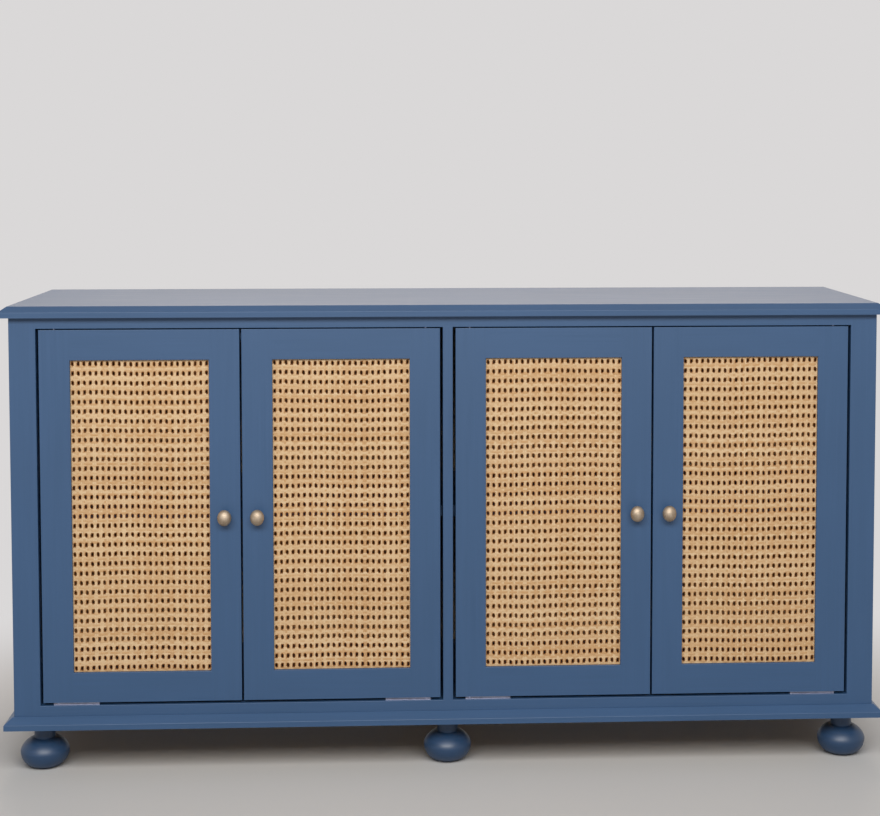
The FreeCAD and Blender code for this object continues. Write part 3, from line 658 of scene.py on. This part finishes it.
@dataclass
class CanePanel:
    """Open-weave cane in a door's rebate.

    Bands of three flat strands run across and pairs of strands run up, each over one and under the
    next, round a grid of upright holes.  The strands beside a hole are broader where they cross,
    which rounds it.  All are drawn a little broader than real ones.
    """
    door: int
    left: float                       # edges of the door's opening
    right: float
    bottom: float = 185.5 * MM
    top: float = 752.5 * MM
    middle_y: float = FACADE_Y + 6.8 * MM
    tuck: float = 7 * MM              # how far the strands run on behind the frame
    hole_columns: int = 24
    hole_rows: int = 33
    column_margin: float = 4 * MM     # from the opening's edge to the first holes' middle
    row_margin: float = 7.3 * MM
    strands_across: int = 3
    across_spacing: float = 3.85 * MM
    across_width: float = 4.2 * MM
    across_vary: Pair = (0.92, 1.05)  # least and most of the width
    across_stray: float = 0.08 * MM   # how far a strand lies out of place, as a standard deviation
    up_spacing: float = 3.75 * MM
    up_width: float = 3.85 * MM
    up_vary: Pair = (0.9, 1.06)
    up_stray: float = 0.16 * MM
    up_rings: tuple[float, ...] = (-1.5, -1.0, 0.0, 1.0, 1.5)  # about a band, in strand spacings
    up_inside: float = 1.45           # a ring nearer than this to a band's middle is within it
    thickness: float = 0.7 * MM
    lift: float = 0.43 * MM           # a strand's path in front of or behind the middle
    corner: float = 0.7 * MM          # broader by so much at the crossings
    corner_from: float = 2.75 * MM    # the broader part ends here, counted from the crossing
    corner_to: float = 4.0 * MM       # and the true width starts here
    closest: float = 0.1 * MM         # rings nearer to each other than this are left out
    # the web's waves: height, length along the strands that they bend, and length across those
    side_waves: tuple[Triple, ...] = ((0.35 * MM, 0.31, 0.9), (0.20 * MM, 0.12, -0.4))
    rise_waves: tuple[Triple, ...] = ((0.90 * MM, 0.27, 1.3), (0.35 * MM, 0.10, -0.5))
    tones: Pair = (0.2, 0.8)          # of single strands
    sharp_degrees: float = 60
    seed: int = 40

    def wave(self, x: np.ndarray, z: np.ndarray,
             phases: np.ndarray) -> tuple[np.ndarray, np.ndarray]:
        """How far the web is drawn out of true at a point.

        Each shift is a sum of long sine waves over the panel, as hand-stretched web shows.

        Args:
            x: X of the points.
            z: Z of the points.
            phases: this panel's own phases.

        Returns:
            The shift in X and the shift in Z.
        """
        turn = 2 * np.pi
        side = [height * np.sin(turn * (z / length + x / other) + phase)
                for (height, length, other), phase in zip(self.side_waves, phases[:2])]
        rise = [height * np.sin(turn * (x / length + z / other) + phase)
                for (height, length, other), phase in zip(self.rise_waves, phases[2:])]
        return sum(side), sum(rise)

    def build(self) -> Object:
        """Weaves the panel: the bands across, then the pairs up.

        Returns:
            The woven panel, with a UV map along the strands and a tone for each.
        """
        random = np.random.default_rng(self.seed + self.door)
        phases = random.uniform(0, 2 * np.pi, 4)
        columns = self.middles(self.left, self.right, self.column_margin, self.hole_columns)
        bands = self.middles(self.bottom, self.top, self.row_margin, self.hole_rows)
        across = self.weave_across(columns, bands, phases, random)
        upright = self.weave_up(columns, bands, phases, random)
        return self.join([across, upright], random)

    def middles(self, low: float, high: float, margin: float, holes: int) -> Spread:
        """Middles of the bands or of the pairs, which lie between holes and beyond the last ones.

        Args:
            low: one edge of the opening.
            high: the other edge.
            margin: from an edge to the nearest holes' middle.
            holes: how many holes there are between the edges.

        Returns:
            The middles, one more than there are holes.
        """
        pitch = (high - low - 2 * margin) / (holes - 1)
        return Spread(low + margin + (np.arange(holes + 1) - 0.5) * pitch, pitch)

    def weave_across(self, columns: Spread, bands: Spread, phases: np.ndarray,
                     random: np.random.Generator) -> tuple[np.ndarray, np.ndarray]:
        """Strands across, one for each band and place in the band.

        A strand keeps its height and swings front to back as lift x cos(pi x / pitch); neighbours
        swing the other way.

        Args:
            columns: X of the pairs' middles.
            bands: Z of the bands' middles.
            phases: this panel's own phases.
            random: source of what strays.

        Returns:
            Points by strand, ring, place round the ring and axis, and their edge marks.
        """
        places = np.arange(self.strands_across) - (self.strands_across - 1) / 2
        band, slot = [grid.ravel() for grid in np.meshgrid(
            np.arange(len(bands.at)), places, indexing="ij")]
        offsets = np.array([-self.corner_to, -self.corner_from, 0.0, self.corner_from,
                            self.corner_to])
        x = self.stations((self.left - self.tuck, self.right + self.tuck), columns.at, offsets)
        x = x[None, :].repeat(len(band), axis=0)
        off = np.abs(x[..., None] - columns.at).min(axis=-1)
        broader = ((self.corner_to - off) / (self.corner_to - self.corner_from)).clip(0, 1)
        broader = broader * self.corner * np.abs(slot)[:, None]
        stray = random.normal(0, self.across_stray, len(band))
        z = (bands.at[band] + slot * self.across_spacing + stray)[:, None]
        z = z + broader * slot[:, None] / 2
        side = (-1.0) ** (band + np.round(slot))
        swing = self.lift * side[:, None] * np.cos(np.pi * (x - columns.at[0]) / columns.pitch)
        z = z + self.wave(x, z, phases)[1]
        path = np.stack([x, self.middle_y + swing, z], axis=-1)
        own_width = self.across_width * random.uniform(*self.across_vary, len(band))
        width = own_width[:, None] + broader
        # strand edges beside a hole, which get the split edges' brown and painted shade
        beside = off > (self.corner_from + self.corner_to) / 2
        return (self.strands(path, width, UP),
                self.edges(beside & (slot > 0)[:, None], beside & (slot < 0)[:, None]))

    def weave_up(self, columns: Spread, bands: Spread, phases: np.ndarray,
                 random: np.random.Generator) -> tuple[np.ndarray, np.ndarray]:
        """Strands up, two in each column.

        A strand swings as the opposite of each strand that it meets, and lies in the middle between
        bands.

        Args:
            columns: X of the pairs' middles.
            bands: Z of the bands' middles.
            phases: this panel's own phases.
            random: source of what strays.

        Returns:
            Points by strand, ring, place round the ring and axis, and their edge marks.
        """
        column, half = [grid.ravel() for grid in np.meshgrid(
            np.arange(len(columns.at)), [-0.5, 0.5], indexing="ij")]
        offsets = np.array(self.up_rings) * self.across_spacing
        z = self.stations((self.bottom - self.tuck, self.top + self.tuck), bands.at, offsets)
        z = z[None, :].repeat(len(column), axis=0)
        nearest = np.abs(z[..., None] - bands.at).argmin(axis=-1)
        off = z - bands.at[nearest]
        inside = np.abs(off) < self.up_inside * self.across_spacing
        parity = (-1.0) ** (column[:, None] + nearest)
        swing = -self.lift * parity * np.cos(np.pi * off / self.across_spacing) * inside
        nudge = random.normal(0, self.up_stray, len(columns.at))[column]
        x = (columns.at[column] + half * self.up_spacing + nudge)[:, None]
        x = x + self.wave(x, z, phases)[0]
        path = np.stack([x, self.middle_y + swing, z + self.wave(x, z, phases)[1]], axis=-1)
        own_width = self.up_width * random.uniform(*self.up_vary, len(column))
        width = own_width[:, None] + 0 * z
        return (self.strands(path, width, -RIGHT),
                self.edges(~inside & (half < 0)[:, None], ~inside & (half > 0)[:, None]))

    def stations(self, ends: Pair, crossings: np.ndarray, offsets: np.ndarray) -> np.ndarray:
        """Places of a strand's rings: its two ends, and the same offsets about every crossing.

        Args:
            ends: where the strand starts and ends.
            crossings: the places that it crosses others at.
            offsets: places of the rings about each crossing.

        Returns:
            The places in order, none too close to the next.
        """
        places = np.concatenate([[ends[0]], (crossings[:, None] + offsets).ravel(), [ends[1]]])
        places = np.sort(places.clip(*ends))
        return places[np.concatenate([[True], np.diff(places) > self.closest])]

    def strands(self, path: np.ndarray, width: np.ndarray, across: Vector) -> np.ndarray:
        """Carries a crowned section along each strand's path.

        Seen along the path the section has four points: one edge, the back, the other edge and the
        crown.

        Args:
            path: middle line of each strand, by strand, ring and axis.
            width: width by strand and ring.
            across: unit direction of the width.

        Returns:
            Points by strand, ring, place round the ring and axis.
        """
        side = np.array([0.5, 0.0, -0.5, 0.0])
        depth = np.array([0.0, 0.5, 0.0, -0.5]) * self.thickness
        points = path[:, :, None, :] + (width[..., None] * side)[..., None] * np.array(across)
        points[..., 1] += depth
        return points[:, :, ::-1]

    def edges(self, first: np.ndarray, other: np.ndarray) -> np.ndarray:
        """Marks the points of strands that lie at the edge of a hole, for the split edges' brown
        and painted shade.

        Args:
            first: whether the edge in the direction of the width is beside a hole, by strand and
                ring.
            other: the same for the edge opposite.

        Returns:
            1 beside a hole and 0 elsewhere, by strand, ring and place round the ring.
        """
        inner = np.zeros(first.shape)
        return np.stack([first, inner, other, inner], axis=-1)[:, :, ::-1]

    def join(self, sets: list[tuple[np.ndarray, np.ndarray]],
             random: np.random.Generator) -> Object:
        """Makes one object of several sets of strands, with the strand map, tones and edges.

        The map runs in metres along a strand and from 0 to 1 across it, with the crown and the back
        at 0.5.

        Args:
            sets: points of each set, by strand, ring, place round the ring and axis, and their
                edge marks.
            random: source of the tones.

        Returns:
            The panel.
        """
        points, faces, along, across, tone, edge = [], [], [], [], [], []
        start = 0
        side = np.array([1.0, 0.5, 0.0, 0.5])[::-1]
        for strand_set, marks in sets:
            tubes, rings, around, _ = strand_set.shape
            shape = (tubes, rings, around)
            faces += [[corner + start for corner in face] for face in tube_faces(*shape)]
            start += tubes * rings * around
            points.append(strand_set.reshape(-1, 3))
            middle = strand_set.mean(axis=2)
            steps = np.linalg.norm(np.diff(middle, axis=1), axis=-1)
            length = np.concatenate([np.zeros((tubes, 1)), steps.cumsum(axis=1)], axis=1)
            own_tone = random.uniform(*self.tones, tubes)
            along.append(np.broadcast_to(length[:, :, None], shape).ravel())
            across.append(np.broadcast_to(side, shape).ravel())
            tone.append(np.broadcast_to(own_tone[:, None, None], shape).ravel())
            edge.append(marks.ravel())
        piece = new_piece("door_%d_cane_web" % self.door, np.concatenate(points), faces,
                          self.sharp_degrees)
        mesh = piece.data
        corner = np.zeros(len(mesh.loops), dtype=np.int32)
        mesh.loops.foreach_get("vertex_index", corner)
        strand_map = np.stack([np.concatenate(along), np.concatenate(across)], axis=-1)[corner]
        layer = mesh.uv_layers.new(name="strand")
        layer.uv.foreach_set("vector", strand_map.astype(np.float32).ravel())
        # the edge mark carries the split edges' brown and painted shade round the holes
        for label, values in (("tone", tone), ("edge", edge)):
            attribute = mesh.attributes.new(label, "FLOAT", "POINT")
            attribute.data.foreach_set("value", np.concatenate(values).astype(np.float32))
        return piece

    def dress(self, piece: Object, finishes: Finishes) -> None:
        """Gives the web its cane and sets it in place of the plain strips.

        Args:
            piece: the woven panel.
            finishes: the cabinet's finishes.
        """
        dress(piece, finishes.of["cane"])
        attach(piece, "door_%d" % self.door)
        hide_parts("door_%d_cane" % self.door)


def make(maker: BunFoot | Knob | CanePanel, finishes: Finishes) -> None:
    """Builds one piece, dresses it and reports it.

    Args:
        maker: what knows the piece's shape and finish.
        finishes: the cabinet's finishes.
    """
    piece = maker.build()
    maker.dress(piece, finishes)
    log.info("%s: %d faces", piece.name, len(piece.data.polygons))


@dataclass
class Door:
    """One inset door: painted frame, cane panel, knob and fittings."""
    number: int
    hinge_x: float
    side: int                         # 1 where the door lies to the right of its hinge edge, or -1
    width: float = 357 * MM
    member: float = 55 * MM

    def build(self, finishes: Finishes, nodes: dict[str, Object]) -> None:
        """Makes the door's own pieces and dresses the rest.

        Args:
            finishes: the cabinet's finishes.
            nodes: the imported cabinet's objects by name.
        """
        left, right = sorted(self.hinge_x + self.side * place
                             for place in (self.member, self.width - self.member))
        knob_x = self.hinge_x + self.side * (self.width - self.member / 2)
        make(CanePanel(self.number, left, right), finishes)
        make(Knob(self.number, knob_x), finishes)
        for part, finish in {
            "stile_hinge": Grain.Z, "stile_lock": Grain.Z, "rail_top": Grain.X,
            "rail_bottom": Grain.X, "beads": Grain.Z, "fittings": "nickel",
        }.items():
            dress(nodes["door_%d_%s" % (self.number, part)], finishes.of[finish])


@dataclass
class Carcass:
    """The painted case, its bare insides and its six feet."""
    foot_x: float = 740 * MM
    foot_depths: Pair = (52 * MM, 352 * MM)

    def build(self, finishes: Finishes, nodes: dict[str, Object]) -> None:
        """Makes the feet and dresses the boards.

        Args:
            finishes: the cabinet's finishes.
            nodes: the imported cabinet's objects by name.
        """
        for row, depth in zip(("front", "rear"), self.foot_depths):
            for side, x in (("left", -self.foot_x), ("centre", 0.0), ("right", self.foot_x)):
                make(BunFoot("foot_%s_%s" % (row, side), x, FACADE_Y + depth), finishes)
        for finish, names in {
            Grain.X: ("top_board", "bottom_board", "shelf_left", "shelf_right", "door_catches",
                      "face_rail_top", "face_rail_bottom", "base_moulding_front"),
            Grain.Y: ("base_moulding_left", "base_moulding_right"),
            Grain.Z: ("side_panel_left", "side_panel_right", "centre_partition",
                      "face_stile_left", "face_stile_right", "face_stile_centre"),
            "ply_back": ("back_panel",),
            "pine": ("base_bearers",),
            "nickel": ("hinge_plates",),
            "zinc": ("shelf_pins", "foot_bolts", "carcass_screws"),
        }.items():
            for name in names:
                dress(nodes[name], finishes.of[finish])


# ---- studio ----

class Lit(Enum):
    """What a light falls on, and how its flags are linked to the floor."""
    ALL = ""
    CABINET = "EXCLUDE"
    FLOOR = "INCLUDE"


@dataclass(frozen=True)
class SoftLight:
    """One soft rectangular light."""
    name: str
    place: Triple
    target: Triple
    size: Pair
    watts: float
    colour: str
    lit: Lit = Lit.ALL

    def build(self, floor: Object) -> None:
        """Hangs the light, pointed at its target.

        Args:
            floor: the floor, which the light may be kept off or kept to.
        """
        data = bpy.data.lights.new(self.name, "AREA")
        data.shape = "RECTANGLE"
        data.size, data.size_y = self.size
        data.energy = self.watts
        data.color = linear(self.colour)[:3]
        lamp = bpy.data.objects.new(self.name, data)
        lamp.location = self.place
        beam = Vector(self.target) - Vector(self.place)
        lamp.rotation_euler = beam.to_track_quat("-Z", "Y").to_euler()
        lamp.visible_camera = False
        bpy.context.scene.collection.objects.link(lamp)
        if self.lit is not Lit.ALL:
            flags = bpy.data.collections.new(self.name + "_flags")
            flags.objects.link(floor)
            flags.collection_objects[0].light_linking.link_state = self.lit.value
            lamp.light_linking.receiver_collection = flags


@dataclass
class Studio:
    """Pale floor, soft lights and the camera."""
    backdrop: str = "#dad8d8"
    sky: str = "#f4f6ff"
    ambient: float = 0.19
    floor_colour: str = "#c6c5c4"
    floor_roughness: float = 0.7
    floor_specular: float = 0.2
    floor_radius: float = 14.0
    floor_points: int = 128
    fade_y: float = -0.3              # the fade's middle lies a little in front of the cabinet's
    fade_from: float = 0.85
    fade_to: float = 1.6
    lights: tuple[SoftLight, ...] = (
        SoftLight("window", place=(-0.3, -3.9, 2.8), target=(-0.05, 0, 0.4), size=(3.8, 1.3),
                  watts=217, colour="#fffdf9", lit=Lit.CABINET),
        SoftLight("ceiling", place=(0.1, 2.5, 2.8), target=(0, 0.1, 0.8), size=(3.4, 1.6),
                  watts=58, colour="#fff1e2"),
        SoftLight("overhead", place=(0, -3.1, 3.1), target=(0, -0.9, 0), size=(4.4, 2.4),
                  watts=172, colour="#fffdf9", lit=Lit.FLOOR))
    eye: Triple = (-0.0896, FACADE_Y - 3.0765, 1.1089)
    look_down: float = 0.0569         # radians under the level
    look_right: float = 0.0486        # radians off the cabinet's own depth
    focal_pixels: float = 1711.8      # focal length in an image that is image_width wide
    image_width: float = 880
    sensor: float = 36.0              # millimetres
    shift: Pair = (-0.0466, -0.17)
    clip: Pair = (0.05, 60.0)

    def pale_rays(self, tree: NodeTree) -> NodeSocket:
        """One where a ray comes from the camera, a reflection or glass, and nought for lighting.

        Args:
            tree: the node tree that asks.

        Returns:
            The output to read.
        """
        path = add_node(tree, "ShaderNodeLightPath")
        seen = add_node(tree, "ShaderNodeMath", {
            0: path.outputs["Is Camera Ray"], 1: path.outputs["Is Glossy Ray"]},
            operation="MAXIMUM")
        seen = add_node(tree, "ShaderNodeMath", {
            0: seen.outputs[0], 1: path.outputs["Is Transmission Ray"]}, operation="MAXIMUM")
        return seen.outputs[0]

    def world(self) -> None:
        """A pale backdrop for the eye and a quieter, even light for the surfaces."""
        world = bpy.data.worlds.new("pale_studio")
        world.use_nodes = True
        tree = world.node_tree
        tree.nodes.clear()
        eye = add_node(tree, "ShaderNodeBackground", {
            "Color": linear(self.backdrop), "Strength": 1.0})
        light = add_node(tree, "ShaderNodeBackground", {
            "Color": linear(self.sky), "Strength": self.ambient})
        both = add_node(tree, "ShaderNodeMixShader", {
            0: self.pale_rays(tree), 1: light.outputs[0], 2: eye.outputs[0]})
        add_node(tree, "ShaderNodeOutputWorld", {"Surface": both.outputs[0]})
        bpy.context.scene.world = world

    def floor(self) -> Object:
        """A round floor that keeps the cabinet's shadow and turns into the backdrop far from it.

        Returns:
            The floor.
        """
        angle = np.linspace(0, 2 * np.pi, self.floor_points, endpoint=False)
        rim = np.stack([np.cos(angle), np.sin(angle), 0 * angle], axis=-1) * self.floor_radius
        mesh = bpy.data.meshes.new("floor")
        mesh.from_pydata(rim.tolist(), [], [list(range(self.floor_points))])
        material, shader = new_material("pale_floor", {
            "Base Color": linear(self.floor_colour), "Roughness": self.floor_roughness,
            "Specular IOR Level": self.floor_specular})
        tree = material.node_tree
        place = add_node(tree, "ShaderNodeTexCoord").outputs["Object"]
        distance = add_node(tree, "ShaderNodeVectorMath", {0: place, 1: (0.0, self.fade_y, 0.0)},
                            operation="DISTANCE").outputs["Value"]
        far = add_node(tree, "ShaderNodeMapRange", {
            "Value": distance, "From Min": self.fade_from, "From Max": self.fade_to},
            interpolation_type="SMOOTHSTEP")
        share = add_node(tree, "ShaderNodeMath", {0: far.outputs[0], 1: self.pale_rays(tree)},
                         operation="MULTIPLY")
        glow = add_node(tree, "ShaderNodeEmission", {
            "Color": linear(self.backdrop), "Strength": 1.0})
        both = add_node(tree, "ShaderNodeMixShader", {
            0: share.outputs[0], 1: shader.outputs[0], 2: glow.outputs[0]})
        output = [node for node in tree.nodes if node.type == "OUTPUT_MATERIAL"][0]
        feed(output, {"Surface": both.outputs[0]})
        mesh.materials.append(material)
        floor = bpy.data.objects.new("floor", mesh)
        bpy.context.scene.collection.objects.link(floor)
        return floor

    def camera(self) -> None:
        """Sets the camera in front and a little left of the middle, looking slightly down."""
        data = bpy.data.cameras.new("camera")
        data.sensor_width = self.sensor
        data.lens = self.focal_pixels * self.sensor / self.image_width
        data.shift_x, data.shift_y = self.shift
        data.clip_start, data.clip_end = self.clip
        camera = bpy.data.objects.new("camera", data)
        camera.location = self.eye
        camera.rotation_euler = Euler((math.pi / 2 - self.look_down, 0.0, -self.look_right))
        bpy.context.scene.collection.objects.link(camera)
        bpy.context.scene.camera = camera

    def build(self) -> None:
        """Sets up world, floor, lights and camera."""
        self.world()
        floor = self.floor()
        for light in self.lights:
            light.build(floor)
        self.camera()
        bpy.context.scene.view_settings.view_transform = "Standard"


def main() -> None:
    """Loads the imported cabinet, makes and dresses its pieces, and sets up the studio."""
    logging.basicConfig(level=logging.INFO, format="%(name)s: %(message)s")
    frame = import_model()
    finishes = Finishes()
    finishes.build()
    Carcass().build(finishes, frame["nodes"])
    for number, hinge_x, side in DOORS:
        Door(number, hinge_x, side).build(finishes, frame["nodes"])
    Studio().build()


if __name__ == "__main__":
    main()
